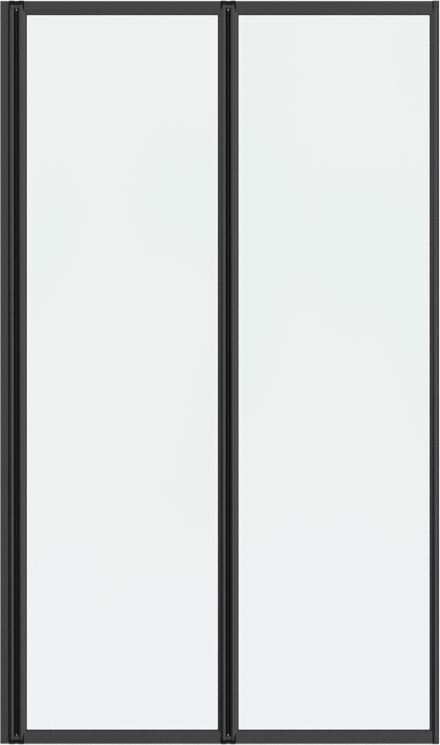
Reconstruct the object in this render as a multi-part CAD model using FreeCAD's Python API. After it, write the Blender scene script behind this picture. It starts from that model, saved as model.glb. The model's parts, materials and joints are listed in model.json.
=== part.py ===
import FreeCAD, Part
import math
import os

# A folding bath screen: a wall profile, two framed glass leaves and two double-pivot hinges.
# Sizes are in millimetres. X runs from the wall to the closing edge, -Y is the front and Z is up.
# The origin is on the wall face, at mid depth, level with the bottom edge of the bottom rails.

# Overall sizes
FRAME_HEIGHT = 1400.0       # bottom edge of the bottom rail to top edge of the top rail
OPENING_WIDTH = 359.6       # clear glass between the gasket lips of one leaf

# Glass and gaskets
GLASS_THICKNESS = 4.0
GLASS_BITE = 5.2            # sight line to glass edge
GASKET_WALL = 1.4
GASKET_BASE = 1.0
GASKET_GAP = 0.1            # gasket base to the floor of a stile's groove
GASKET_LIP = 2.0            # gasket shown beyond the frame's lip
SETTING_BLOCK_HEIGHT = 1.0
SETTING_BLOCK_LENGTH = 40.0
SETTING_BLOCK_INSET = 60.0  # glass edge to the middle of a setting block

# Pivots
PIN_RADIUS = 2.0
PIN_RUNNING_GAP = 0.05
PIN_HEAD_RADIUS = 3.6
PIN_HEAD_HEIGHT = 1.6
PIN_DEPTH = 22.0            # pin below the stile's end
PIN_END_GAP = 1.0
PRESS_GAP = 0.02
BUSH_WALL = 1.3
BUSH_GAP = 0.05
COLLAR_HEIGHT = 1.0
COLLAR_INSET = 0.25         # collar inside the knuckle's outline
LINK_GAP = 0.15             # collar to link plate
LINK_CLEARANCE = 0.5        # link's flat side to the rail's end
LINK_LAP = 0.5              # link's round end past the rail's end
NEST_GAP = 0.3              # link's round end to the hollow that it turns in
LINK_THICKNESS = 5.2
DOME_RISE = 1.0             # covers and caps above the rail's edge
DOME_ROUND = 2.0
WEB_DROP = 0.6              # a cover's middle below its domes
WEB_HALF = 2.6
PEG_RADIUS = 1.0
PEG_LENGTH = 2.2

# Stiles
KNUCKLE_WALL = 3.85
KNUCKLE_GAP = 3.0           # between the two knuckles of a hinge
STILE_WEB = 1.4             # between the bore and the glazing groove
SHOULDER_STEP = 0.9         # groove floor to the rail's end
LIP_WALL = 1.6
LIP_ROUND = 0.7
BEAD_TURN = 30.0            # degrees that the knuckle's round turns before the bead's cove
LIP_TILT = 2.0              # degrees that the lip falls towards the glass

# Rails
RAIL_WALL = 1.5
RAIL_WEB = 1.5
CHAMBER_HEIGHT = 14.5
RAIL_BACK = 3.5             # thick outer wall of a rail
RAIL_ROUND = 1.0
TONGUE_HEIGHT = 4.0
TONGUE_HALF = 3.9
BLOCK_GAP = 0.1
BLOCK_LENGTH = 25.0
PLUG_LENGTH = 40.0          # corner block inside the stile

# Hinge seals
SEAL_GAP = 0.3
SEAL_HALF_DEPTH = 3.2
SEAL_END_GAP = 0.2          # link plate to the seal's end
WINDOW_DROP = 1.6           # link plate to the window that shows the dowel
WINDOW_HEIGHT = 3.7
WINDOW_WIDTH = 1.6
DOWEL_RADIUS = 0.45
DOWEL_IN_PLATE = 2.2
DOWEL_IN_SEAL = 18.0

# Bottom seals
SEAL_MOUTH_HALF = 2.0
SEAL_FOOT_HALF = 2.8
SEAL_FOOT_HEIGHT = 2.2
SEAL_FOOT_GAP = 0.05
SEAL_PROUD = 0.5
SEAL_LIP_HALF = 1.0

# Screws
SCREW_HEAD_RADIUS = 2.6
SCREW_HEAD_HEIGHT = 1.3
SCREW_RADIUS = 1.3
SCREW_LENGTH = 8.0
SCREW_SINK = 0.05           # head below the surface
SLOT_WIDTH = 0.7
SLOT_LENGTH = 3.0
SLOT_DEPTH = 0.8
STILE_SCREW_DROP = 33.0     # stile's end to the screw in the stile
RAIL_SCREW_REACH = 14.0     # rail's end to the screw in the rail

# Wall profile and post
WALL_FACE = 14.5
WALL_INSET = 0.25           # wall profile's face behind the knuckle's front
WALL_WALL = 1.4
WALL_ROUND = 0.6
WALL_HOLE_RADIUS = 2.5
WALL_HOLE_INSET = 100.0     # profile's end line to the outer holes
WALL_HOLE_HALF_MIDDLE = 200.0
AXIS_FROM_FACE = 7.2        # wall profile's edge to the first pivot axis
SCREW_ROOM = 3.1            # for the heads of the wall screws
TONGUE_FIT = 0.1            # post in the channel
POST_TONGUE = 9.0
POST_WALL = 1.5
POST_NECK_HALF = 3.2
POST_SCREW_INSET = 250.0
PLUG_FLANGE = 2.0
PLUG_FIT = 0.15

# Worked out from the sizes above
MID_HEIGHT = FRAME_HEIGHT / 2
GLASS_HALF = GLASS_THICKNESS / 2
GROOVE_HALF = GLASS_HALF + GASKET_WALL
LIP_HALF = GROOVE_HALF + LIP_WALL
PIN_HOLE_RADIUS = PIN_RADIUS + PIN_RUNNING_GAP
BUSH_RADIUS = PIN_HOLE_RADIUS + BUSH_WALL
STILE_BORE = BUSH_RADIUS + BUSH_GAP
KNUCKLE_RADIUS = STILE_BORE + KNUCKLE_WALL
PIVOT_PITCH = 2 * KNUCKLE_RADIUS + KNUCKLE_GAP
STILE_FLOOR = STILE_BORE + STILE_WEB
STILE_SIGHT = STILE_FLOOR + GASKET_GAP + GASKET_BASE + GLASS_BITE
STILE_LIP = STILE_SIGHT - GASKET_LIP
STILE_SHOULDER = STILE_FLOOR + SHOULDER_STEP
LINK_HALF = STILE_SHOULDER - LINK_CLEARANCE
LINK_RADIUS = STILE_SHOULDER + LINK_LAP
NEST_RADIUS = LINK_RADIUS + NEST_GAP
COLLAR_RADIUS = KNUCKLE_RADIUS - COLLAR_INSET
RAIL_GROOVE = GLASS_BITE + GASKET_BASE + SETTING_BLOCK_HEIGHT
CHAMBER_START = RAIL_GROOVE + RAIL_WEB
CHAMBER_END = CHAMBER_START + CHAMBER_HEIGHT
CHAMBER_HALF = KNUCKLE_RADIUS - RAIL_WALL
RAIL_FACE = CHAMBER_END + RAIL_BACK
SIGHT_TOP = FRAME_HEIGHT - RAIL_FACE
STILE_TOP = SIGHT_TOP + CHAMBER_START + TONGUE_HEIGHT
STILE_BOTTOM = FRAME_HEIGHT - STILE_TOP
COLLAR_TOP = STILE_TOP + COLLAR_HEIGHT
PLATE_BOTTOM = COLLAR_TOP + LINK_GAP
PLATE_TOP = PLATE_BOTTOM + LINK_THICKNESS
COVER_TOP = FRAME_HEIGHT + DOME_RISE
WALL_HALF = KNUCKLE_RADIUS - WALL_INSET
CHANNEL_HALF = WALL_HALF - WALL_WALL
POST_X = WALL_FACE + AXIS_FROM_FACE
TONGUE_START = WALL_WALL + SCREW_ROOM
LEAF_AXES = OPENING_WIDTH + 2 * STILE_SIGHT
INNER_HINGE_X = POST_X + PIVOT_PITCH
INNER_FOLD_X = INNER_HINGE_X + LEAF_AXES
OUTER_HINGE_X = INNER_FOLD_X + PIVOT_PITCH
OVER = 1.0                  # cutters run past the faces that they cut

# The bead's cove leaves the knuckle's round and ends in the lip
TURN = math.radians(BEAD_TURN)
TILT = math.radians(LIP_TILT)
TURN_REACH = KNUCKLE_RADIUS * math.sin(TURN)
TURN_HALF = KNUCKLE_RADIUS * math.cos(TURN)
LIP_FALL = math.tan(TILT) * (STILE_LIP - TURN_REACH)
COVE_FALL = math.cos(TILT) - math.cos(TURN) - math.tan(TILT) * (math.sin(TURN) - math.sin(TILT))
COVE_RADIUS = (TURN_HALF - LIP_HALF - LIP_FALL) / COVE_FALL
FACE_REACH = SIGHT_TOP + GASKET_LIP + STILE_LIP - FRAME_HEIGHT


def vec(x, y, z):
    return FreeCAD.Vector(x, y, z)


def box(x0, x1, y0, y1, z0, z1):
    return Part.makeBox(x1 - x0, y1 - y0, z1 - z0, vec(x0, y0, z0))


def rod(radius, x, y, z0, z1):
    return Part.makeCylinder(radius, z1 - z0, vec(x, y, z0))


def polygon_prism(points, direction):
    wire = Part.makePolygon(points + points[:1])
    return Part.Face(wire).extrude(direction)


def fused(shapes):
    return shapes[0].fuse(shapes[1:]).removeSplitter()


def edges_at(shape, test):
    return [edge for edge in shape.Edges if all(test(vertex.Point) for vertex in edge.Vertexes)]


def rounded_where(shape, radius, test):
    return shape.makeFillet(radius, edges_at(shape, test))


def near(value, target):
    return abs(value - target) < 1e-6


def at_bottom(shape):
    """The same piece at the other end of the screen."""
    return shape.mirror(vec(0, 0, MID_HEIGHT), vec(0, 0, 1))


def facing_wall(shape):
    """The same piece turned to face the wall, for the far side of a leaf."""
    return shape.mirror(vec(0, 0, 0), vec(1, 0, 0))


def moved(shape, x):
    copy = shape.copy()
    copy.translate(vec(x, 0, 0))
    return copy


# Screws

def screw_from_back(x, surface_y, z):
    """A countersunk screw driven towards the front, with a cross in its head."""
    top = surface_y - SCREW_SINK
    neck = top - SCREW_HEAD_HEIGHT
    head = Part.makeCone(SCREW_RADIUS, SCREW_HEAD_RADIUS, SCREW_HEAD_HEIGHT, vec(x, neck, z), vec(0, 1, 0))
    shank = Part.makeCylinder(SCREW_RADIUS, SCREW_LENGTH, vec(x, neck, z), vec(0, -1, 0))
    half, wide = SLOT_LENGTH / 2, SLOT_WIDTH / 2
    slots = [
        box(x - half, x + half, top - SLOT_DEPTH, top + OVER, z - wide, z + wide),
        box(x - wide, x + wide, top - SLOT_DEPTH, top + OVER, z - half, z + half),
    ]
    return fused([head, shank]).cut(slots)


def screw_hole(x, surface_y, z):
    """Countersink and hole for such a screw."""
    top = surface_y - SCREW_SINK
    neck = top - SCREW_HEAD_HEIGHT
    radius = SCREW_RADIUS + PRESS_GAP
    head_radius = SCREW_HEAD_RADIUS + PRESS_GAP
    mouth = Part.makeCylinder(head_radius, KNUCKLE_RADIUS, vec(x, top, z), vec(0, 1, 0))
    head = Part.makeCone(radius, head_radius, SCREW_HEAD_HEIGHT, vec(x, neck, z), vec(0, 1, 0))
    depth = SCREW_LENGTH + PRESS_GAP
    shank = Part.makeCylinder(radius, depth, vec(x, neck, z), vec(0, -1, 0))
    return fused([mouth, head, shank])


# Heads in the round back of a stile sit where the head's rim meets the surface
STILE_SCREW_Y = math.sqrt(KNUCKLE_RADIUS**2 - SCREW_HEAD_RADIUS**2)
STILE_SCREW_Z = STILE_TOP - STILE_SCREW_DROP
RAIL_SCREW_X = STILE_SHOULDER + RAIL_SCREW_REACH
RAIL_SCREW_Z = SIGHT_TOP + (CHAMBER_START + CHAMBER_END) / 2


def corner_screws():
    """The two screws of a top corner, with the stile's axis at X 0."""
    return [
        screw_from_back(0, STILE_SCREW_Y, STILE_SCREW_Z),
        screw_from_back(RAIL_SCREW_X, KNUCKLE_RADIUS, RAIL_SCREW_Z),
    ]


# Leaf frame

def mitre_prism(beyond):
    """Space of the rail above the mitre, or of the stile's bead below it, at a top corner."""
    low = SIGHT_TOP + GASKET_LIP - OVER
    turn = SIGHT_TOP + GASKET_LIP + STILE_LIP - STILE_SHOULDER
    inner = vec(STILE_SHOULDER, -2 * KNUCKLE_RADIUS, turn)
    outer = vec(STILE_LIP + OVER, -2 * KNUCKLE_RADIUS, low)
    third = vec(STILE_SHOULDER, -2 * KNUCKLE_RADIUS, low)
    points = [inner, outer, third]
    if beyond:
        top_outer = vec(STILE_LIP + OVER, -2 * KNUCKLE_RADIUS, FRAME_HEIGHT)
        top_inner = vec(STILE_SHOULDER, -2 * KNUCKLE_RADIUS, FRAME_HEIGHT)
        points = [inner, outer, top_outer, top_inner]
    return polygon_prism(points, vec(0, 4 * KNUCKLE_RADIUS, 0))


def cove_point(angle):
    """Reach and half depth of the cove where it slopes by an angle."""
    reach = TURN_REACH + COVE_RADIUS * (math.sin(TURN) - math.sin(angle))
    half = TURN_HALF - COVE_RADIUS * (math.cos(angle) - math.cos(TURN))
    return reach, half


def bead_edges(place):
    """Cove and lip, where place turns reach and half depth into a point."""
    cove = [place(*cove_point(angle)) for angle in (TURN, (TURN + TILT) / 2, TILT)]
    return [Part.Arc(*cove).toShape(), Part.makeLine(cove[2], place(STILE_LIP, LIP_HALF))]


def stile():
    """An upright with its pivot axis at X 0 and its glass towards +X."""
    def front(reach, half):
        return vec(reach, -half, STILE_BOTTOM)

    def back(reach, half):
        return vec(reach, half, STILE_BOTTOM)

    nose = vec(-KNUCKLE_RADIUS, 0, STILE_BOTTOM)
    knuckle = Part.Arc(back(TURN_REACH, TURN_HALF), nose, front(TURN_REACH, TURN_HALF)).toShape()
    mouth = Part.makeLine(front(STILE_LIP, LIP_HALF), back(STILE_LIP, LIP_HALF))
    outline = Part.Wire([knuckle] + bead_edges(front) + [mouth] + bead_edges(back)[::-1])
    body = Part.Face(outline).extrude(vec(0, 0, STILE_TOP - STILE_BOTTOM))
    for lip in (-LIP_HALF, LIP_HALF):
        body = rounded_where(body, LIP_ROUND, lambda p: near(p.x, STILE_LIP) and near(p.y, lip))
    slot_half = TONGUE_HALF + BLOCK_GAP
    top_cuts = [
        mitre_prism(True),
        box(0, STILE_SHOULDER + OVER, -slot_half, slot_half, STILE_TOP - TONGUE_HEIGHT, STILE_TOP + OVER),
        screw_hole(0, STILE_SCREW_Y, STILE_SCREW_Z),
    ]
    groove_end = STILE_LIP + OVER
    long_cuts = [
        rod(STILE_BORE, 0, 0, STILE_BOTTOM - OVER, STILE_TOP + OVER),
        box(STILE_FLOOR, groove_end, -GROOVE_HALF, GROOVE_HALF, STILE_BOTTOM - OVER, STILE_TOP + OVER),
    ]
    return body.cut(long_cuts + top_cuts + [at_bottom(cut) for cut in top_cuts])


def face_edges(place):
    """A rail's flat face and the round that leads to its bead."""
    half_turn = place(KNUCKLE_RADIUS * math.sin(TURN / 2), KNUCKLE_RADIUS * math.cos(TURN / 2))
    flat_end = place(0, KNUCKLE_RADIUS)
    flat = Part.makeLine(place(FACE_REACH, KNUCKLE_RADIUS), flat_end)
    return [flat, Part.Arc(flat_end, half_turn, place(TURN_REACH, TURN_HALF)).toShape()]


def link_nests():
    """Hollows in the two ends of a top rail, for the round ends of the links."""
    return [rod(NEST_RADIUS, x, 0, COLLAR_TOP, FRAME_HEIGHT + OVER) for x in (0, LEAF_AXES)]


def rail_blank():
    """A top rail with its left stile's axis at X 0, before the cuts that differ."""
    def front(reach, half):
        return vec(STILE_SHOULDER, -half, FRAME_HEIGHT + FACE_REACH - reach)

    def back(reach, half):
        return vec(STILE_SHOULDER, half, FRAME_HEIGHT + FACE_REACH - reach)

    mouth = Part.makeLine(front(STILE_LIP, LIP_HALF), back(STILE_LIP, LIP_HALF))
    top = Part.makeLine(front(FACE_REACH, KNUCKLE_RADIUS), back(FACE_REACH, KNUCKLE_RADIUS))
    front_edges = face_edges(front) + bead_edges(front)
    back_edges = face_edges(back) + bead_edges(back)
    outline = Part.Wire(front_edges + [mouth] + back_edges[::-1] + [top])
    body = Part.Face(outline).extrude(vec(LEAF_AXES - 2 * STILE_SHOULDER, 0, 0))
    body = rounded_where(body, RAIL_ROUND, lambda p: near(p.z, FRAME_HEIGHT) and near(abs(p.y), KNUCKLE_RADIUS))
    mitre = mitre_prism(False)
    far_mitre = moved(facing_wall(mitre), LEAF_AXES)
    x0, x1 = STILE_SHOULDER - OVER, LEAF_AXES - STILE_SHOULDER + OVER
    groove = box(x0, x1, -GROOVE_HALF, GROOVE_HALF, SIGHT_TOP, SIGHT_TOP + RAIL_GROOVE)
    z0, z1 = SIGHT_TOP + CHAMBER_START, SIGHT_TOP + CHAMBER_END
    chamber = box(x0, x1, -CHAMBER_HALF, CHAMBER_HALF, z0, z1)
    hole = screw_hole(RAIL_SCREW_X, KNUCKLE_RADIUS, RAIL_SCREW_Z)
    far_hole = moved(facing_wall(hole), LEAF_AXES)
    return body.cut([mitre, far_mitre, groove, chamber, hole, far_hole] + link_nests())


def seal_section(gap):
    """Half outline of the bottom seal's foot, from its mouth upwards."""
    return [(SEAL_MOUTH_HALF - gap, 0), (SEAL_FOOT_HALF - gap, SEAL_FOOT_HEIGHT - gap)]


def seal_prism(half_outline, x0, x1):
    front = [vec(x0, -y, z) for y, z in half_outline]
    back = [vec(x0, y, z) for y, z in reversed(half_outline)]
    return polygon_prism(front + back, vec(x1 - x0, 0, 0))


def bottom_rail():
    x0, x1 = STILE_SHOULDER - OVER, LEAF_AXES - STILE_SHOULDER + OVER
    return at_bottom(rail_blank()).cut(seal_prism(seal_section(0), x0, x1))


def bottom_seal():
    outline = [(SEAL_LIP_HALF, -SEAL_PROUD)] + seal_section(SEAL_FOOT_GAP)
    strip = seal_prism(outline, STILE_SHOULDER, LEAF_AXES - STILE_SHOULDER)
    return strip.cut([at_bottom(nest) for nest in link_nests()])


def corner_block():
    """A block in the top of a stile and the end of a rail, with the pivot pin's hole."""
    half = CHAMBER_HALF - BLOCK_GAP
    z0 = SIGHT_TOP + CHAMBER_START + BLOCK_GAP
    z1 = SIGHT_TOP + CHAMBER_END - BLOCK_GAP
    body = fused([
        rod(COLLAR_RADIUS, 0, 0, STILE_TOP, COLLAR_TOP),
        rod(BUSH_RADIUS, 0, 0, STILE_TOP - PLUG_LENGTH, STILE_TOP),
        box(0, STILE_SHOULDER, -TONGUE_HALF, TONGUE_HALF, z0, STILE_TOP),
        box(STILE_SHOULDER, STILE_SHOULDER + BLOCK_LENGTH, -half, half, z0, z1),
    ])
    pin_hole = rod(PIN_HOLE_RADIUS, 0, 0, STILE_TOP - PIN_DEPTH - PIN_END_GAP, COLLAR_TOP + OVER)
    stile_screw = screw_hole(0, STILE_SCREW_Y, STILE_SCREW_Z)
    rail_screw = screw_hole(RAIL_SCREW_X, KNUCKLE_RADIUS, RAIL_SCREW_Z)
    return body.cut([pin_hole, stile_screw, rail_screw] + link_nests())


# Glass, gaskets and setting blocks

def glass():
    x0 = STILE_SIGHT - GLASS_BITE
    z0 = RAIL_FACE - GLASS_BITE
    return box(x0, LEAF_AXES - x0, -GLASS_HALF, GLASS_HALF, z0, FRAME_HEIGHT - z0)


def rectangle_corners(inset):
    """Corners of the sight opening grown by an inset, from the lower left one, anticlockwise."""
    x0, z0 = STILE_SIGHT - inset, RAIL_FACE - inset
    x1, z1 = LEAF_AXES - x0, FRAME_HEIGHT - z0
    return [vec(x, -GROOVE_HALF, z) for x, z in ((x0, z0), (x1, z0), (x1, z1), (x0, z1))]


def gaskets():
    """Four mitred channels round the pane's edge."""
    inner = rectangle_corners(0)
    outer = rectangle_corners(GLASS_BITE + GASKET_BASE)
    pane = glass()
    strips = {}
    for i, side in enumerate(("bottom", "right", "top", "left")):
        j = (i + 1) % len(inner)
        strip = polygon_prism([inner[i], inner[j], outer[j], outer[i]], vec(0, 2 * GROOVE_HALF, 0))
        strips[side] = strip.cut(pane)
    return strips


def setting_blocks():
    z1 = RAIL_FACE - GLASS_BITE - GASKET_BASE
    z0 = z1 - SETTING_BLOCK_HEIGHT
    near_x = STILE_SIGHT - GLASS_BITE + SETTING_BLOCK_INSET
    half = SETTING_BLOCK_LENGTH / 2
    middles = (near_x, LEAF_AXES - near_x)
    return [box(x - half, x + half, -GROOVE_HALF, GROOVE_HALF, z0, z1) for x in middles]


def leaf(name, far_stile):
    """All pieces of one leaf, with its hinge stile's axis at X 0."""
    near_stile, block, screws = stile(), corner_block(), corner_screws()
    pieces = {
        "hinge_stile": near_stile,
        far_stile: moved(facing_wall(near_stile), LEAF_AXES),
        "top_rail": rail_blank(),
        "bottom_rail": bottom_rail(),
        "glass": glass(),
        "setting_blocks": Part.makeCompound(setting_blocks()),
        "bottom_seal": bottom_seal(),
    }
    for side, strip in gaskets().items():
        pieces["gasket_" + side] = strip
    far_block = moved(facing_wall(block), LEAF_AXES)
    for side, shape in (("left", block), ("right", far_block)):
        pieces["corner_block_top_" + side] = shape
        pieces["corner_block_bottom_" + side] = at_bottom(shape)
    top_screws = screws + [moved(facing_wall(screw), LEAF_AXES) for screw in screws]
    pieces["frame_screws"] = Part.makeCompound(top_screws + [at_bottom(screw) for screw in top_screws])
    return {name + "_" + piece: shape for piece, shape in pieces.items()}


# Hinge links

def lobe(radius, x, z0):
    """A round post with a domed top, up to the height of the covers."""
    body = rod(radius, x, 0, z0, COVER_TOP)
    return body.makeFillet(DOME_ROUND, edges_at(body, lambda p: near(p.z, COVER_TOP))[:1])


def link_plate():
    body = fused([
        box(0, PIVOT_PITCH, -LINK_HALF, LINK_HALF, PLATE_BOTTOM, PLATE_TOP),
        rod(LINK_RADIUS, 0, 0, PLATE_BOTTOM, PLATE_TOP),
        rod(LINK_RADIUS, PIVOT_PITCH, 0, PLATE_BOTTOM, PLATE_TOP),
    ])
    middle = PIVOT_PITCH / 2
    holes = [rod(PIN_RADIUS + PRESS_GAP, x, 0, PLATE_BOTTOM - OVER, PLATE_TOP + OVER) for x in (0, PIVOT_PITCH)]
    holes.append(rod(DOWEL_RADIUS + PRESS_GAP, middle, 0, PLATE_BOTTOM - OVER, PLATE_BOTTOM + DOWEL_IN_PLATE))
    holes.append(rod(PEG_RADIUS + PRESS_GAP, middle, 0, PLATE_TOP - PEG_LENGTH, PLATE_TOP + OVER))
    return body.cut(holes)


def link_cover():
    web_top = COVER_TOP - WEB_DROP
    body = fused([
        lobe(LINK_RADIUS, 0, PLATE_TOP),
        lobe(LINK_RADIUS, PIVOT_PITCH, PLATE_TOP),
        box(0, PIVOT_PITCH, -WEB_HALF, WEB_HALF, PLATE_TOP, web_top),
        rod(PEG_RADIUS, PIVOT_PITCH / 2, 0, PLATE_TOP - PEG_LENGTH, PLATE_TOP),
    ])
    radius = PIN_HEAD_RADIUS + PIN_RUNNING_GAP
    top = PLATE_TOP + PIN_HEAD_HEIGHT + PIN_RUNNING_GAP
    return body.cut([rod(radius, x, 0, PLATE_TOP - OVER, top) for x in (0, PIVOT_PITCH)])


def pivot_pins():
    pins = []
    for x in (0, PIVOT_PITCH):
        shank = rod(PIN_RADIUS, x, 0, STILE_TOP - PIN_DEPTH, PLATE_TOP)
        head = rod(PIN_HEAD_RADIUS, x, 0, PLATE_TOP, PLATE_TOP + PIN_HEAD_HEIGHT)
        pins.append(fused([shank, head]))
    return pins


SEAL_TOP = PLATE_BOTTOM - SEAL_END_GAP
WINDOW_TOP = PLATE_BOTTOM - WINDOW_DROP
DOWEL_BOTTOM = SEAL_TOP - DOWEL_IN_SEAL


def dowel(gap):
    z1 = PLATE_BOTTOM + DOWEL_IN_PLATE
    return rod(DOWEL_RADIUS + gap, PIVOT_PITCH / 2, 0, DOWEL_BOTTOM, z1)


def seal_window():
    """Opening through the strip's end, on both sides of the dowel."""
    x0, x1 = (PIVOT_PITCH - WINDOW_WIDTH) / 2, (PIVOT_PITCH + WINDOW_WIDTH) / 2
    depth = SEAL_HALF_DEPTH + OVER
    return box(x0, x1, -depth, depth, WINDOW_TOP - WINDOW_HEIGHT, WINDOW_TOP)


def hinge_seal():
    """A waisted strip between the knuckles, with a window at each end that shows the dowel."""
    z0, z1 = FRAME_HEIGHT - SEAL_TOP, SEAL_TOP
    body = box(0, PIVOT_PITCH, -SEAL_HALF_DEPTH, SEAL_HALF_DEPTH, z0, z1)
    radius = KNUCKLE_RADIUS + SEAL_GAP
    knuckles = [rod(radius, x, 0, z0 - OVER, z1 + OVER) for x in (0, PIVOT_PITCH)]
    top_cuts = [dowel(PRESS_GAP), seal_window()]
    return body.cut(knuckles + top_cuts + [at_bottom(cut) for cut in top_cuts])


def link(name):
    """All pieces of one hinge link, with its first axis at X 0."""
    plate, cover, pins = link_plate(), link_cover(), pivot_pins()
    return {
        name + "_link_top_plate": plate,
        name + "_link_bottom_plate": at_bottom(plate),
        name + "_link_top_cover": cover,
        name + "_link_bottom_cover": at_bottom(cover),
        name + "_link_pivot_pins": Part.makeCompound(pins + [at_bottom(pin) for pin in pins]),
        name + "_hinge_seal": hinge_seal(),
        name + "_seal_dowels": Part.makeCompound([dowel(0), at_bottom(dowel(0))]),
    }


def closing_cap():
    """The domed end of a stile against its rail's end, with a stem in the corner block."""
    wide = 2 * KNUCKLE_RADIUS
    rail_space = box(STILE_SHOULDER, wide, -wide, wide, COLLAR_TOP - OVER, COVER_TOP + OVER)
    end = lobe(KNUCKLE_RADIUS, 0, COLLAR_TOP).cut(rail_space)
    spigot = lobe(NEST_RADIUS - PRESS_GAP, 0, COLLAR_TOP)
    stem = rod(PIN_HOLE_RADIUS - PRESS_GAP, 0, 0, STILE_TOP - PIN_DEPTH, COLLAR_TOP)
    return fused([end, spigot, stem])


# Wall side

def wall_holes():
    offset = MID_HEIGHT - WALL_HOLE_INSET
    heights = [MID_HEIGHT + k * d for d in (offset, WALL_HOLE_HALF_MIDDLE) for k in (-1, 1)]
    return [Part.makeCylinder(WALL_HOLE_RADIUS, WALL_FACE, vec(-OVER, 0, z), vec(1, 0, 0)) for z in heights]


POST_SCREW_X = TONGUE_START + POST_TONGUE / 2
POST_SCREW_HEIGHTS = (POST_SCREW_INSET, MID_HEIGHT, FRAME_HEIGHT - POST_SCREW_INSET)


def post_screw_holes():
    return [screw_hole(POST_SCREW_X, WALL_HALF, z) for z in POST_SCREW_HEIGHTS]


def wall_outline(z0, z1):
    body = box(0, WALL_FACE, -WALL_HALF, WALL_HALF, z0, z1)
    return rounded_where(body, WALL_ROUND, lambda p: near(p.x, WALL_FACE) and near(abs(p.y), WALL_HALF))


def wall_profile():
    z0, z1 = PLUG_FLANGE, FRAME_HEIGHT - PLUG_FLANGE
    channel = box(WALL_WALL, WALL_FACE + OVER, -CHANNEL_HALF, CHANNEL_HALF, z0 - OVER, z1 + OVER)
    return wall_outline(z0, z1).cut([channel] + wall_holes() + post_screw_holes())


def wall_plug():
    """Top end of the wall profile: a flange, a body above the post and a nose that ends at the link."""
    z0 = FRAME_HEIGHT - PLUG_FLANGE
    half = CHANNEL_HALF - PLUG_FIT
    body = box(WALL_WALL + PLUG_FIT, WALL_FACE - WALL_ROUND, -half, half, STILE_TOP, z0)
    nose = box(WALL_FACE - WALL_ROUND, POST_X, -POST_NECK_HALF, POST_NECK_HALF, PLATE_BOTTOM, FRAME_HEIGHT)
    link_room = rod(NEST_RADIUS, POST_X, 0, PLATE_BOTTOM - OVER, FRAME_HEIGHT + OVER)
    return fused([wall_outline(z0, FRAME_HEIGHT), body, nose.cut(link_room)])


def hinge_post():
    half = CHANNEL_HALF - TONGUE_FIT
    tongue_end = TONGUE_START + POST_TONGUE
    body = fused([
        rod(KNUCKLE_RADIUS, POST_X, 0, STILE_BOTTOM, STILE_TOP),
        box(tongue_end - POST_WALL, POST_X, -POST_NECK_HALF, POST_NECK_HALF, STILE_BOTTOM, STILE_TOP),
        box(TONGUE_START, tongue_end, -half, half, STILE_BOTTOM, STILE_TOP),
    ])
    x0, x1, inner = TONGUE_START + POST_WALL, tongue_end - POST_WALL, half - POST_WALL
    hollow = box(x0, x1, -inner, inner, STILE_BOTTOM - OVER, STILE_TOP + OVER)
    bore = rod(STILE_BORE, POST_X, 0, STILE_BOTTOM - OVER, STILE_TOP + OVER)
    return body.cut([hollow, bore] + post_screw_holes())


def post_bush():
    body = fused([
        rod(COLLAR_RADIUS, POST_X, 0, STILE_TOP, COLLAR_TOP),
        rod(BUSH_RADIUS, POST_X, 0, STILE_TOP - PLUG_LENGTH, STILE_TOP),
    ])
    return body.cut(rod(PIN_HOLE_RADIUS, POST_X, 0, STILE_TOP - PIN_DEPTH - PIN_END_GAP, COLLAR_TOP + OVER))


def wall_side():
    plug, bush = wall_plug(), post_bush()
    screws = [screw_from_back(POST_SCREW_X, WALL_HALF, z) for z in POST_SCREW_HEIGHTS]
    return {
        "wall_profile": wall_profile(),
        "wall_profile_top_plug": plug,
        "wall_profile_bottom_plug": at_bottom(plug),
        "hinge_post": hinge_post(),
        "post_top_bush": bush,
        "post_bottom_bush": at_bottom(bush),
        "post_fixing_screws": Part.makeCompound(screws),
    }


def placed(pieces, x):
    return {name: moved(shape, x) for name, shape in pieces.items()}


def screen():
    cap = moved(facing_wall(closing_cap()), OUTER_HINGE_X + LEAF_AXES)
    return {
        **wall_side(),
        **placed(link("wall"), POST_X),
        **placed(leaf("inner", "fold_stile"), INNER_HINGE_X),
        **placed(link("fold"), INNER_FOLD_X),
        **placed(leaf("outer", "closing_stile"), OUTER_HINGE_X),
        "closing_stile_top_cap": cap,
        "closing_stile_bottom_cap": at_bottom(cap),
    }


os.makedirs("parts", exist_ok=True)
for node, shape in screen().items():
    shape.exportStep(os.path.join("parts", node + ".step"))
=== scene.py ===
import json
import math

import bmesh
import bpy
from bpy.props import FloatProperty, FloatVectorProperty, PointerProperty
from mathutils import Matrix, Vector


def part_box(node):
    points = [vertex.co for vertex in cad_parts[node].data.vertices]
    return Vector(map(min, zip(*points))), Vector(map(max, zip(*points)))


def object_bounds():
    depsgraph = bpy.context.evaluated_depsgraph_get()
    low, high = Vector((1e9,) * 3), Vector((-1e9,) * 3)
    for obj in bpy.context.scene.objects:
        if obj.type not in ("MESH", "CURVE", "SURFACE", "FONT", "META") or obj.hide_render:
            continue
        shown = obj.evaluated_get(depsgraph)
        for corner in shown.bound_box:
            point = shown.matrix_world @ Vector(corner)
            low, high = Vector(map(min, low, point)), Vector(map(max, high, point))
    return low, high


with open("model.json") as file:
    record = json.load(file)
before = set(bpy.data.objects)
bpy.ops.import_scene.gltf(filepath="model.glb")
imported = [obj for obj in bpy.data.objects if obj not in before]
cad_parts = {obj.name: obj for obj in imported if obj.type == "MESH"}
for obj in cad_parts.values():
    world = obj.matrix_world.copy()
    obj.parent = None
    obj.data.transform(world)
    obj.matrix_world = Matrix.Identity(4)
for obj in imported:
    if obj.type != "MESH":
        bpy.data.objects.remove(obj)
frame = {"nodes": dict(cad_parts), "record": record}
CAD_BOX = [list(corner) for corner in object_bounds()]

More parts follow.
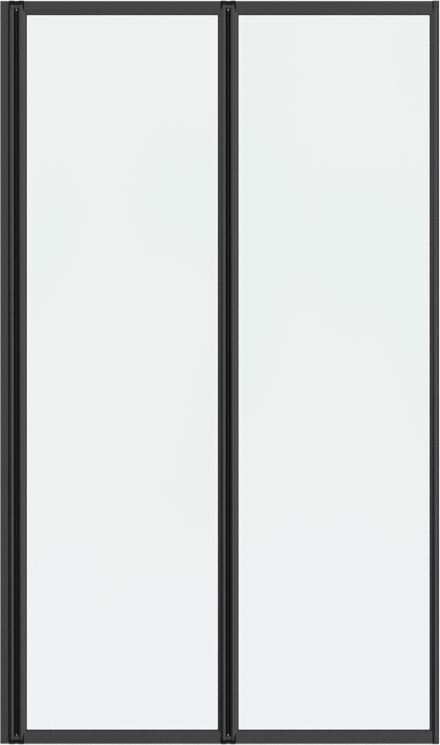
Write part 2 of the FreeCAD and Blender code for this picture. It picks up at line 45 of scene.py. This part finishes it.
bl_info = {
    "name": "Folding bath screen",
    "version": (1, 0, 0),
    "blender": (4, 5, 0),
    "location": "View3D > Sidebar > Bath screen",
    "description": "Finishes and studio for a bath screen of two folding glass leaves",
    "category": "Object",
}

SCREEN_WIDTH = CAD_BOX[1][0] - CAD_BOX[0][0]
SCREEN_HEIGHT = CAD_BOX[1][2] - CAD_BOX[0][2]
SCREEN_FOOT = CAD_BOX[0][2]

# Lines of an extruded surface: how many to the metre across it and along it
COAT_LINES = (1500.0, 3.0)
PLATE_LINES = (300.0, 300.0)
GASKET_LINES = (2400.0, 8.0)
SEAL_LINES = (1800.0, 5.0)

# Depth of each surface's relief
COAT_RELIEF = 0.000005
GLASS_RELIEF = 0.00002
RUBBER_RELIEF = 0.00002
SEAL_RELIEF = 0.000015
PLASTIC_RELIEF = 0.00002
NYLON_RELIEF = 0.00002
SCREW_RELIEF = 0.00001
STEEL_RELIEF = 0.000005

# Floor, overhead panel and camera
FLOOR_RADIUS = 3.2
FLOOR_SIDES = 96
FLOOR_DROP = 0.020      # screen's foot to the floor
PANEL_LENGTH = 3.0
PANEL_WIDTH = 2.5
PANEL_POWER = 20.0
PANEL_HEIGHT = 3.2
PANEL_FORWARD = 0.6     # panel's middle in front of the screen
FILM_WIDTH = 36.0
FARTHEST_SEEN = 100.0

# Corners of the boards that the frame mirrors
RIGHT_SOFT_BOX = ((1.25, -5.0, -3.0), (4.35, -5.0, -3.0), (4.35, -5.0, 4.0), (1.25, -5.0, 4.0))
RIGHT_FLAG = ((1.7, -0.05, -3.0), (1.7, 3.0, -3.0), (1.7, 3.0, 4.0), (1.7, -0.05, 4.0))
LEFT_LOW_FLAG = (
    (-14.0, -5.2, -5.0), (-0.4, -5.2, -5.0), (-0.4, -5.2, 0.0),
    (-2.3, -5.2, 0.65), (-6.2, -5.2, 1.35), (-14.0, -5.2, 2.1))


class Tone:
    """A node's output. Arithmetic on it adds the Math nodes that work it out."""

    def __init__(self, finish, socket):
        self.finish = finish
        self.socket = socket

    def _worked(self, operation, first, second):
        return self.finish.node("ShaderNodeMath", {"operation": operation}, {0: first, 1: second})

    def __add__(self, other):
        return self._worked("ADD", self, other)

    def __sub__(self, other):
        return self._worked("SUBTRACT", self, other)

    def __rsub__(self, other):
        return self._worked("SUBTRACT", other, self)

    def __mul__(self, other):
        return self._worked("MULTIPLY", self, other)

    __radd__ = __add__
    __rmul__ = __mul__

    def __abs__(self):
        return self.finish.node("ShaderNodeMath", {"operation": "ABSOLUTE"}, {0: self})

    def swing(self, spread):
        """A soft shading's swing to both sides of its middle, spread in all."""
        return (self - 0.5) * spread


class Finish:
    """A material whose nodes are made one call at a time."""

    def __init__(self, name):
        self.material = bpy.data.materials.new(name)
        self.material.use_nodes = True
        self.tree = self.material.node_tree
        self.tree.nodes.clear()

    def node(self, kind, settings=None, sockets=None, out=0):
        """A node with its settings, then its sockets' values or links. Gives the output asked for."""
        made = self.tree.nodes.new(kind)
        for key, value in (settings or {}).items():
            if key == "stops":
                for stop, position in zip(made.color_ramp.elements, value):
                    stop.position = position
            else:
                setattr(made, key, value)
        for key, value in (sockets or {}).items():
            if isinstance(value, Tone):
                self.tree.links.new(value.socket, made.inputs[key])
            else:
                made.inputs[key].default_value = value
        return Tone(self, made.outputs[out]) if made.outputs else made

    def place(self, stretch=(1.0, 1.0, 1.0)):
        """Where a point lies on the screen in metres, times stretch."""
        point = self.node("ShaderNodeTexCoord", out="Object")
        return self.node("ShaderNodeVectorMath", {"operation": "MULTIPLY"}, {0: point, 1: stretch})

    def along(self, place, axis):
        """One coordinate of a place."""
        return self.node("ShaderNodeSeparateXYZ", None, {"Vector": place}, out=axis)

    def noise(self, place, scale, detail):
        """Soft random shading from 0 to 1, with scale patches to the metre."""
        sockets = {"Vector": place, "Scale": scale, "Detail": detail}
        return self.node("ShaderNodeTexNoise", None, sockets)

    def lines(self, axis, counts, detail=1.0):
        """Random lines drawn along an axis, with counts to the metre across and along it."""
        across, along = counts
        stretch = [along if name == axis else across for name in "XYZ"]
        return self.noise(self.place(stretch), 1.0, detail)

    def ramp(self, value, low, high):
        """A value brought to 0 below low and 1 above high."""
        return self.node("ShaderNodeValToRGB", {"stops": (low, high)}, {"Fac": value})

    def mixed(self, share, first, second):
        """One colour turning into another."""
        sockets = {0: share, 6: first, 7: second}
        return self.node("ShaderNodeMix", {"data_type": "RGBA"}, sockets, out=2)

    def shaded(self, share, colour, dark, light):
        """A colour between dark and light times its own strength."""
        return self.mixed(share, opaque(colour, dark), opaque(colour, light))

    def relief(self, height, depth):
        """A surface normal for shallow relief of that depth in metres."""
        return self.node("ShaderNodeBump", None, {"Strength": 1.0, "Distance": depth, "Height": height})

    def surface(self, sockets):
        """A surface shader."""
        return self.node("ShaderNodeBsdfPrincipled", None, sockets)

    def blended(self, share, first, second):
        """One shader turning into another."""
        return self.node("ShaderNodeMixShader", None, {0: share, 1: first, 2: second})

    def close(self, shader):
        """Ends the material with a shader."""
        self.node("ShaderNodeOutputMaterial", None, {"Surface": shader})
        return self.material


def opaque(colour, gain=1.0):
    """A colour setting as a socket's value."""
    return (*[part * gain for part in colour], 1.0)


def solids_of(slot):
    """Names of the solids that the record gives this material slot."""
    names = [part["node"] for part in frame["record"]["subparts"] if part["material_slot"] == slot]
    if not names:
        raise LookupError(f"no solid takes the slot {slot}")
    return names


def dress(names, material):
    """Puts a material on solids."""
    for name in names:
        for held in frame["nodes"][name].material_slots:
            held.material = material


class BATHSCREEN_PG_finish(bpy.types.PropertyGroup):
    """Colours and textures of the screen's materials."""

    coat_colour: FloatVectorProperty(
        name="Coat colour", description="Colour of the coated aluminium",
        subtype="COLOR", size=3, min=0.0, max=1.0, default=(0.003, 0.003, 0.0031))
    coat_roughness: FloatProperty(
        name="Coat roughness", description="How much the coat blurs what it mirrors",
        subtype="FACTOR", min=0.05, max=1.0, default=0.18)
    coat_grain: FloatProperty(
        name="Coat grain", description="Size of the coat's fine dimples",
        subtype="DISTANCE", unit="LENGTH", min=0.0001, max=0.005, default=0.0004)
    # Painted shade: width of the darker, duller band laid on the knuckles at each hinge gap
    gap_shade_width: FloatProperty(
        name="Painted gap shade width", description="Width of the painted shade band between two knuckles, centred on the hinge seal",
        subtype="DISTANCE", unit="LENGTH", min=0.0, max=0.02, default=0.0092)
    glass_colour: FloatVectorProperty(
        name="Glass colour", description="Tint of light that has passed through a pane",
        subtype="COLOR", size=3, min=0.0, max=1.0, default=(0.824, 0.872, 0.853))
    # Painted reflection: the paler, less green tint of soft patches standing in for the room mirrored
    # in the panes
    painted_reflection_colour: FloatVectorProperty(
        name="Painted reflection colour", description="Tint of the broad soft patches of painted reflection, less green",
        subtype="COLOR", size=3, min=0.0, max=1.0, default=(0.854, 0.874, 0.862))
    glass_foot_colour: FloatVectorProperty(
        name="Glass colour at the foot", description="Tint of the lower part of a pane",
        subtype="COLOR", size=3, min=0.0, max=1.0, default=(0.850, 0.876, 0.885))
    rim_inset: FloatProperty(
        name="Rim inset", description="Pane's edge to the gasket's sight line",
        subtype="DISTANCE", unit="LENGTH", min=0.0, max=0.02, default=0.0052)
    # Painted highlight: width of the pale line beside the gaskets that stands in for the glint of the
    # pane's edge
    painted_glint_width: FloatProperty(
        name="Painted glint width", description="Width over which the painted highlight beside the gasket fades",
        subtype="DISTANCE", unit="LENGTH", min=0.0005, max=0.02, default=0.0038)
    rubber_colour: FloatVectorProperty(
        name="Rubber colour", description="Colour of the gaskets and seals",
        subtype="COLOR", size=3, min=0.0, max=1.0, default=(0.006, 0.006, 0.0065))
    gasket_roughness: FloatProperty(
        name="Gasket roughness", description="How dull the glazing gaskets are",
        subtype="FACTOR", min=0.05, max=1.0, default=0.58)
    seal_roughness: FloatProperty(
        name="Seal roughness", description="How dull the hinge strips and bottom seals are",
        subtype="FACTOR", min=0.05, max=1.0, default=0.42)
    plastic_colour: FloatVectorProperty(
        name="Plastic colour", description="Colour of the moulded covers, caps and plugs",
        subtype="COLOR", size=3, min=0.0, max=1.0, default=(0.004, 0.004, 0.0042))
    cover_roughness: FloatProperty(
        name="Cover roughness", description="How dull the hinge covers are",
        subtype="FACTOR", min=0.05, max=1.0, default=0.50)
    cap_roughness: FloatProperty(
        name="Cap roughness", description="How dull the closing caps and wall plugs are",
        subtype="FACTOR", min=0.05, max=1.0, default=0.28)
    nylon_colour: FloatVectorProperty(
        name="Nylon colour", description="Colour of the corner blocks, setting blocks and bushes",
        subtype="COLOR", size=3, min=0.0, max=1.0, default=(0.020, 0.020, 0.021))
    nylon_roughness: FloatProperty(
        name="Nylon roughness", description="How dull the blocks and bushes are",
        subtype="FACTOR", min=0.05, max=1.0, default=0.50)
    screw_colour: FloatVectorProperty(
        name="Screw colour", description="Colour of the blackened screws",
        subtype="COLOR", size=3, min=0.0, max=1.0, default=(0.060, 0.060, 0.062))
    screw_roughness: FloatProperty(
        name="Screw roughness", description="How dull the blackened screws are",
        subtype="FACTOR", min=0.05, max=1.0, default=0.42)
    steel_colour: FloatVectorProperty(
        name="Steel colour", description="Colour of the bright pivot pins and dowels",
        subtype="COLOR", size=3, min=0.0, max=1.0, default=(0.66, 0.66, 0.65))
    steel_roughness: FloatProperty(
        name="Steel roughness", description="How dull the pins and dowels are",
        subtype="FACTOR", min=0.05, max=1.0, default=0.26)


class BATHSCREEN_PG_studio(bpy.types.PropertyGroup):
    """The stage that the screen is shown on."""

    lens: FloatProperty(
        name="Lens", description="Focal length on a 36 mm wide film",
        subtype="DISTANCE_CAMERA", unit="CAMERA", min=50.0, max=1000.0, default=360.0)
    picture_height: FloatProperty(
        name="Picture height", description="Height that the picture takes in where the screen stands",
        subtype="DISTANCE", unit="LENGTH", min=0.5, max=5.0, default=1.4047)
    aim_across: FloatProperty(
        name="Aim across", description="Middle of the picture, measured from the wall",
        subtype="DISTANCE", unit="LENGTH", min=-2.0, max=2.0, default=0.41427)
    aim_up: FloatProperty(
        name="Aim up", description="Middle of the picture, measured from the bath's rim",
        subtype="DISTANCE", unit="LENGTH", min=-2.0, max=2.0, default=0.69978)
    floor_colour: FloatVectorProperty(
        name="Floor colour", description="Colour of the pale floor",
        subtype="COLOR", size=3, min=0.0, max=1.0, default=(0.93, 0.93, 0.93))
    room_light: FloatProperty(
        name="Room light", description="Brightness of the white room all round",
        min=0.0, max=10.0, default=1.0)
    side_light: FloatProperty(
        name="Side light", description="Brightness of the tall soft box at the right",
        min=0.0, max=20.0, default=1.7)


class BATHSCREEN_OT_coat_frame(bpy.types.Operator):
    """Coat the aluminium profiles, stiles, rails and link plates in satin black"""

    bl_idname = "bath_screen.coat_frame"
    bl_label = "Coat the frame"

    def execute(self, context):
        settings = context.scene.bath_screen_finish
        names = solids_of("black_frame")
        rails = [name for name in names if name.endswith("rail")]
        plates = [name for name in names if name.endswith("plate")]
        uprights = [name for name in names if name not in rails + plates]
        finish = Finish("black_coat_upright")
        coat = self.coat(finish, settings, "Z", COAT_LINES)
        # Painted shade: a darker, duller coat laid on the knuckles in the hinge gaps, where shade falls
        # between two knuckles
        painted_gap_shade = finish.surface({
            "Base Color": opaque(settings.coat_colour, 0.5),
            "Roughness": 0.6,
            "Specular IOR Level": 0.02,
        })
        painted_shade_share = self.painted_gap_shade_mask(finish, settings)
        dress(uprights, finish.close(finish.blended(painted_shade_share, coat, painted_gap_shade)))
        finish = Finish("black_coat_rail")
        dress(rails, finish.close(self.coat(finish, settings, "X", COAT_LINES)))
        finish = Finish("black_coat_plate")
        dress(plates, finish.close(self.coat(finish, settings, "X", PLATE_LINES)))
        return {"FINISHED"}

    def painted_gap_shade_mask(self, finish, settings):
        """Painted shade: 1 on the knuckles beside the edges of the hinge seals, where the gap between
        two knuckles lies in shade, 0 elsewhere.
        """
        place = finish.place()
        across = finish.along(place, "X")
        deep = abs(finish.along(place, "Y"))
        bands = []
        for seal in ("wall_hinge_seal", "fold_hinge_seal"):
            low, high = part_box(seal)
            away = abs(across - (low.x + high.x) / 2.0)
            bands.append(1.0 - finish.ramp(away * (1.0 / settings.gap_shade_width), 0.475, 0.53))
        lips = finish.ramp(deep * (1.0 / high.y), 0.6, 0.95)
        return (bands[0] + bands[1]) * lips

    def coat(self, finish, settings, axis, counts):
        """Satin coat: fine dimples, faint lines along the extrusion, dust and cloudy gloss."""
        place = finish.place()
        dimples = finish.noise(place, 1.0 / settings.coat_grain, 2.0)
        lines = finish.lines(axis, counts)
        cloud = finish.noise(place, 9.0, 3.0)
        dust = finish.ramp(finish.noise(place, 420.0, 1.0), 0.70, 0.80)
        body = finish.shaded(cloud, settings.coat_colour, 0.8, 1.2)
        return finish.surface({
            "Base Color": finish.mixed(dust * 0.3, body, opaque(settings.coat_colour, 5.0)),
            "Roughness": cloud.swing(0.10) + lines.swing(0.06) + settings.coat_roughness,
            "Specular IOR Level": 0.7,
            "Normal": finish.relief(lines + dimples * 1.6, COAT_RELIEF),
        })


class BATHSCREEN_OT_glaze(bpy.types.Operator):
    """Make the two panes clear toughened glass with a faint green tint"""

    bl_idname = "bath_screen.glaze"
    bl_label = "Glaze the leaves"

    def execute(self, context):
        settings = context.scene.bath_screen_finish
        finish = Finish("toughened_glass")
        height = finish.along(finish.place(), "Z")
        drift = finish.noise(finish.place((2.0, 2.0, 1.0)), 1.6, 1.0)
        low = finish.ramp(1.0 - height * (1.0 / SCREEN_HEIGHT) + drift.swing(0.4), 0.55, 1.0)
        # Painted reflection: broad soft patches where the pane's tint turns paler and less green,
        # standing in for the room mirrored in the glass
        patches = finish.ramp(drift, 0.34, 0.56)
        clear = finish.mixed(patches, opaque(settings.glass_colour), opaque(settings.painted_reflection_colour))
        body = finish.mixed(low, clear, opaque(settings.glass_foot_colour))
        wave = finish.noise(finish.place((2.0, 1.0, 5.0)), 3.0, 1.0)
        dress(solids_of("clear_glass"), finish.close(finish.surface({
            # Painted highlight: the pane turns untinted white along the pale rim beside the gaskets,
            # standing in for the glint of its edge
            "Base Color": finish.mixed(self.rim(finish, settings), body, opaque((1.0, 1.0, 1.0))),
            "Roughness": 0.0,
            "IOR": 1.5,
            "Transmission Weight": 1.0,
            "Normal": finish.relief(wave, GLASS_RELIEF),
        })))
        return {"FINISHED"}

    def rim(self, finish, settings):
        """Painted highlight: 1 at the gasket's sight line, fading to 0 over the width of the pale rim,
        where the pane loses its tint to stand in for the glint of its edge.
        """
        low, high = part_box(solids_of("clear_glass")[0])
        share = finish.node("ShaderNodeTexCoord", out="Generated")
        masks = []
        for axis, size in (("X", high.x - low.x), ("Z", high.z - low.z)):
            from_middle = abs(finish.along(share, axis) - 0.5)
            inside = (0.5 - from_middle) * size - settings.rim_inset
            masks.append(1.0 - finish.ramp(inside * (1.0 / settings.painted_glint_width), 0.0, 1.0))
        return finish.node("ShaderNodeMath", {"operation": "MAXIMUM"}, {0: masks[0], 1: masks[1]})


class BATHSCREEN_OT_fit_gaskets(bpy.types.Operator):
    """Give the glazing gaskets black rubber with fine lines along each strip"""

    bl_idname = "bath_screen.fit_gaskets"
    bl_label = "Fit the gaskets"

    def execute(self, context):
        settings = context.scene.bath_screen_finish
        names = solids_of("glazing_gasket")
        upright = [name for name in names if name.endswith(("left", "right"))]
        level = [name for name in names if name not in upright]
        dress(upright, self.rubber("gasket_rubber_upright", settings, "Z"))
        dress(level, self.rubber("gasket_rubber_level", settings, "X"))
        return {"FINISHED"}

    def rubber(self, name, settings, axis):
        """Extruded rubber with a dull skin."""
        finish = Finish(name)
        place = finish.place()
        lines = finish.lines(axis, GASKET_LINES)
        skin = finish.noise(place, 3500.0, 2.0)
        bloom = finish.ramp(finish.noise(place, 30.0, 3.0), 0.35, 0.75)
        return finish.close(finish.surface({
            "Base Color": finish.shaded(bloom, settings.rubber_colour, 1.0, 1.6),
            "Roughness": bloom * 0.12 + skin.swing(0.1) + settings.gasket_roughness,
            "Specular IOR Level": 0.25,
            "Normal": finish.relief(skin * 0.5 + lines, RUBBER_RELIEF),
        }))


class BATHSCREEN_OT_fit_seals(bpy.types.Operator):
    """Give the hinge strips and the bottom seals smooth dark rubber"""

    bl_idname = "bath_screen.fit_seals"
    bl_label = "Fit the seals"

    def execute(self, context):
        settings = context.scene.bath_screen_finish
        names = solids_of("black_seal")
        upright = [name for name in names if name.endswith("hinge_seal")]
        level = [name for name in names if name not in upright]
        dress(upright, self.strip("seal_rubber_upright", settings, "Z"))
        dress(level, self.strip("seal_rubber_level", settings, "X"))
        return {"FINISHED"}

    def strip(self, name, settings, axis):
        """Soft extruded strip, smoother than the gaskets, with rubbed streaks."""
        finish = Finish(name)
        streaks = finish.lines(axis, SEAL_LINES, 2.0)
        rub = finish.ramp(finish.noise(finish.place(), 45.0, 4.0), 0.4, 0.7)
        return finish.close(finish.surface({
            "Base Color": finish.shaded(rub, settings.rubber_colour, 0.8, 1.3),
            "Roughness": streaks.swing(0.12) + rub * 0.08 + settings.seal_roughness,
            "Specular IOR Level": 0.15,
            "Normal": finish.relief(streaks, SEAL_RELIEF),
        }))


class BATHSCREEN_OT_mould_covers(bpy.types.Operator):
    """Give the hinge covers, closing caps and wall plugs finely textured plastic"""

    bl_idname = "bath_screen.mould_covers"
    bl_label = "Mould the covers"

    def execute(self, context):
        settings = context.scene.bath_screen_finish
        names = solids_of("black_cover")
        covers = [name for name in names if name.endswith("cover")]
        ends = [name for name in names if name not in covers]
        dress(covers, self.plastic("dull_plastic", settings, settings.cover_roughness, 0.18))
        dress(ends, self.plastic("satin_plastic", settings, settings.cap_roughness, 0.65))
        return {"FINISHED"}

    def plastic(self, name, settings, roughness, sheen):
        """Moulded plastic with a fine spark-eroded texture and flow marks."""
        finish = Finish(name)
        place = finish.place()
        texture = finish.node("ShaderNodeTexVoronoi", {"feature": "SMOOTH_F1"},
                              {"Vector": place, "Scale": 2600.0, "Smoothness": 0.6}, out="Distance")
        flow = finish.noise(place, 260.0, 2.0)
        return finish.close(finish.surface({
            "Base Color": finish.shaded(flow, settings.plastic_colour, 0.8, 1.3),
            "Roughness": flow.swing(0.14) + texture * 0.1 + roughness,
            "Specular IOR Level": sheen,
            "Normal": finish.relief(texture + flow * 0.4, PLASTIC_RELIEF),
        }))


class BATHSCREEN_OT_mould_blocks(bpy.types.Operator):
    """Give the corner blocks, setting blocks and bushes dull nylon"""

    bl_idname = "bath_screen.mould_blocks"
    bl_label = "Mould the blocks"

    def execute(self, context):
        settings = context.scene.bath_screen_finish
        finish = Finish("nylon")
        mottle = finish.noise(finish.place(), 320.0, 4.0)
        fibre = finish.noise(finish.place((1.0, 1.0, 0.25)), 2200.0, 2.0)
        dress(solids_of("black_nylon"), finish.close(finish.surface({
            "Base Color": finish.shaded(mottle, settings.nylon_colour, 0.7, 1.4),
            "Roughness": mottle.swing(0.16) + settings.nylon_roughness,
            "Normal": finish.relief(fibre + mottle * 0.5, NYLON_RELIEF),
        })))
        return {"FINISHED"}


class BATHSCREEN_OT_drive_screws(bpy.types.Operator):
    """Give the countersunk screws blackened steel, rubbed where a driver has turned them"""

    bl_idname = "bath_screen.drive_screws"
    bl_label = "Drive the screws"

    def execute(self, context):
        settings = context.scene.bath_screen_finish
        finish = Finish("blackened_steel")
        place = finish.place()
        scale = finish.noise(place, 1400.0, 4.0)
        rub = finish.ramp(finish.noise(place, 700.0, 3.0), 0.58, 0.70)
        dress(solids_of("black_screw"), finish.close(finish.surface({
            "Base Color": finish.shaded(rub, settings.screw_colour, 1.0, 3.0),
            "Metallic": 1.0,
            "Roughness": scale.swing(0.2) - rub * 0.1 + settings.screw_roughness,
            "Normal": finish.relief(scale, SCREW_RELIEF),
        })))
        return {"FINISHED"}


class BATHSCREEN_OT_fit_pivots(bpy.types.Operator):
    """Give the pivot pins and seal dowels bright drawn steel"""

    bl_idname = "bath_screen.fit_pivots"
    bl_label = "Fit the pivots"

    def execute(self, context):
        settings = context.scene.bath_screen_finish
        finish = Finish("drawn_steel")
        streaks = finish.noise(finish.place((1.0, 1.0, 0.03)), 5200.0, 2.0)
        cloud = finish.noise(finish.place(), 500.0, 2.0)
        dress(solids_of("bright_steel"), finish.close(finish.surface({
            "Base Color": finish.shaded(cloud, settings.steel_colour, 0.85, 1.1),
            "Metallic": 1.0,
            "Roughness": streaks.swing(0.2) + settings.steel_roughness,
            "Normal": finish.relief(streaks, STEEL_RELIEF),
        })))
        return {"FINISHED"}


class BATHSCREEN_OT_set_studio(bpy.types.Operator):
    """Set the pale floor, the soft light and the camera that looks straight at the leaves"""

    bl_idname = "bath_screen.set_studio"
    bl_label = "Set the studio"

    def execute(self, context):
        settings = context.scene.bath_screen_studio
        context.scene.view_settings.view_transform = "Standard"
        self.floor(context.scene, settings)
        self.room(context.scene, settings)
        self.card(context.scene, "right_soft_box", settings.side_light, 0.5, RIGHT_SOFT_BOX)
        self.card(context.scene, "right_flag", 0.0, 0.2, RIGHT_FLAG)
        self.card(context.scene, "left_low_flag", 0.25, 0.9, LEFT_LOW_FLAG)
        self.camera(context.scene, settings)
        return {"FINISHED"}

    def staged(self, scene, name, built, material):
        """A mesh that stands on the stage and isn't part of the screen."""
        mesh = bpy.data.meshes.new(name)
        built.to_mesh(mesh)
        built.free()
        mesh.materials.append(material)
        staged = bpy.data.objects.new(name, mesh)
        scene.collection.objects.link(staged)
        return staged

    def floor(self, scene, settings):
        """A round white floor under the screen, whose rim fades into the room."""
        finish = Finish("floor_paint")
        place = finish.place()
        cloud = finish.noise(place, 1.0, 0.0)
        paint = finish.surface({
            "Base Color": finish.shaded(cloud, settings.floor_colour, 1.0, 1.02),
            "Roughness": 0.9,
            "Specular IOR Level": 0.0,
        })
        away = finish.node("ShaderNodeVectorMath", {"operation": "LENGTH"}, {0: place}, out="Value")
        rim = finish.ramp(away * (1.0 / FLOOR_RADIUS), 0.4, 1.0)
        clear = finish.node("ShaderNodeBsdfTransparent")
        built = bmesh.new()
        bmesh.ops.create_circle(built, cap_ends=True, segments=FLOOR_SIDES, radius=FLOOR_RADIUS)
        floor = self.staged(scene, "floor", built, finish.close(finish.blended(rim, paint, clear)))
        floor.location = (SCREEN_WIDTH / 2.0, 0.0, SCREEN_FOOT - FLOOR_DROP)
        floor.visible_glossy = False
        floor.visible_transmission = False

    def room(self, scene, settings):
        """White light from all round, and a soft panel overhead."""
        room = bpy.data.worlds.new("white_room")
        room.use_nodes = True
        sky = room.node_tree.nodes["Background"]
        sky.inputs["Color"].default_value = opaque((1.0, 1.0, 1.0))
        sky.inputs["Strength"].default_value = settings.room_light
        scene.world = room
        panel = bpy.data.lights.new("overhead_panel", "AREA")
        panel.shape = "RECTANGLE"
        panel.size = PANEL_LENGTH
        panel.size_y = PANEL_WIDTH
        panel.energy = PANEL_POWER
        hung = bpy.data.objects.new("overhead_panel", panel)
        hung.location = (SCREEN_WIDTH / 2.0, -PANEL_FORWARD, PANEL_HEIGHT)
        hung.visible_glossy = False
        hung.visible_transmission = False
        scene.collection.objects.link(hung)

    def card(self, scene, name, brightness, soft, corners):
        """A board, bright or dark, with a soft edge. Only what mirrors it shows it."""
        finish = Finish(name)
        cover = finish.node("ShaderNodeAttribute", {"attribute_name": "cover"}, out="Fac")
        clear = finish.node("ShaderNodeBsdfTransparent")
        glow = finish.node("ShaderNodeEmission", None, {"Strength": brightness})
        built = bmesh.new()
        face = built.faces.new([built.verts.new(corner) for corner in corners])
        bmesh.ops.inset_region(built, faces=[face], thickness=soft, use_even_offset=True)
        covered = built.verts.layers.float.new("cover")
        for corner in face.verts:
            corner[covered] = 1.0
        board = self.staged(scene, name, built, finish.close(finish.blended(cover, clear, glow)))
        board.visible_camera = False
        board.visible_diffuse = False
        board.visible_transmission = False
        board.visible_shadow = False

    def camera(self, scene, settings):
        """A long lens, square to the leaves."""
        lens = bpy.data.cameras.new("camera")
        lens.sensor_width = FILM_WIDTH
        lens.lens = settings.lens
        lens.clip_end = FARTHEST_SEEN
        camera = bpy.data.objects.new("camera", lens)
        back = settings.picture_height * settings.lens / FILM_WIDTH
        camera.location = (settings.aim_across, -back, settings.aim_up)
        camera.rotation_euler = (math.pi / 2.0, 0.0, 0.0)
        scene.collection.objects.link(camera)
        scene.camera = camera


FINISH_STEPS = (
    BATHSCREEN_OT_coat_frame,
    BATHSCREEN_OT_glaze,
    BATHSCREEN_OT_fit_gaskets,
    BATHSCREEN_OT_fit_seals,
    BATHSCREEN_OT_mould_covers,
    BATHSCREEN_OT_mould_blocks,
    BATHSCREEN_OT_drive_screws,
    BATHSCREEN_OT_fit_pivots,
    BATHSCREEN_OT_set_studio,
)


class BATHSCREEN_PT_steps(bpy.types.Panel):
    """Lists the steps that finish the screen and its settings"""

    bl_idname = "BATHSCREEN_PT_steps"
    bl_label = "Bath screen"
    bl_space_type = "VIEW_3D"
    bl_region_type = "UI"
    bl_category = "Bath screen"

    def draw(self, context):
        for settings in (context.scene.bath_screen_finish, context.scene.bath_screen_studio):
            for name in settings.__annotations__:
                self.layout.prop(settings, name)
        for step in FINISH_STEPS:
            self.layout.operator(step.bl_idname)


CLASSES = (BATHSCREEN_PG_finish, BATHSCREEN_PG_studio, *FINISH_STEPS, BATHSCREEN_PT_steps)


def register():
    """Adds the classes and the scene's settings."""
    for cls in CLASSES:
        bpy.utils.register_class(cls)
    bpy.types.Scene.bath_screen_finish = PointerProperty(type=BATHSCREEN_PG_finish)
    bpy.types.Scene.bath_screen_studio = PointerProperty(type=BATHSCREEN_PG_studio)


def unregister():
    """Takes them away again."""
    del bpy.types.Scene.bath_screen_studio
    del bpy.types.Scene.bath_screen_finish
    for cls in reversed(CLASSES):
        bpy.utils.unregister_class(cls)


def main():
    """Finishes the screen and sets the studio."""
    register()
    bpy.ops.bath_screen.coat_frame()
    bpy.ops.bath_screen.glaze()
    bpy.ops.bath_screen.fit_gaskets()
    bpy.ops.bath_screen.fit_seals()
    bpy.ops.bath_screen.mould_covers()
    bpy.ops.bath_screen.mould_blocks()
    bpy.ops.bath_screen.drive_screws()
    bpy.ops.bath_screen.fit_pivots()
    bpy.ops.bath_screen.set_studio()


if __name__ == "__main__":
    main()
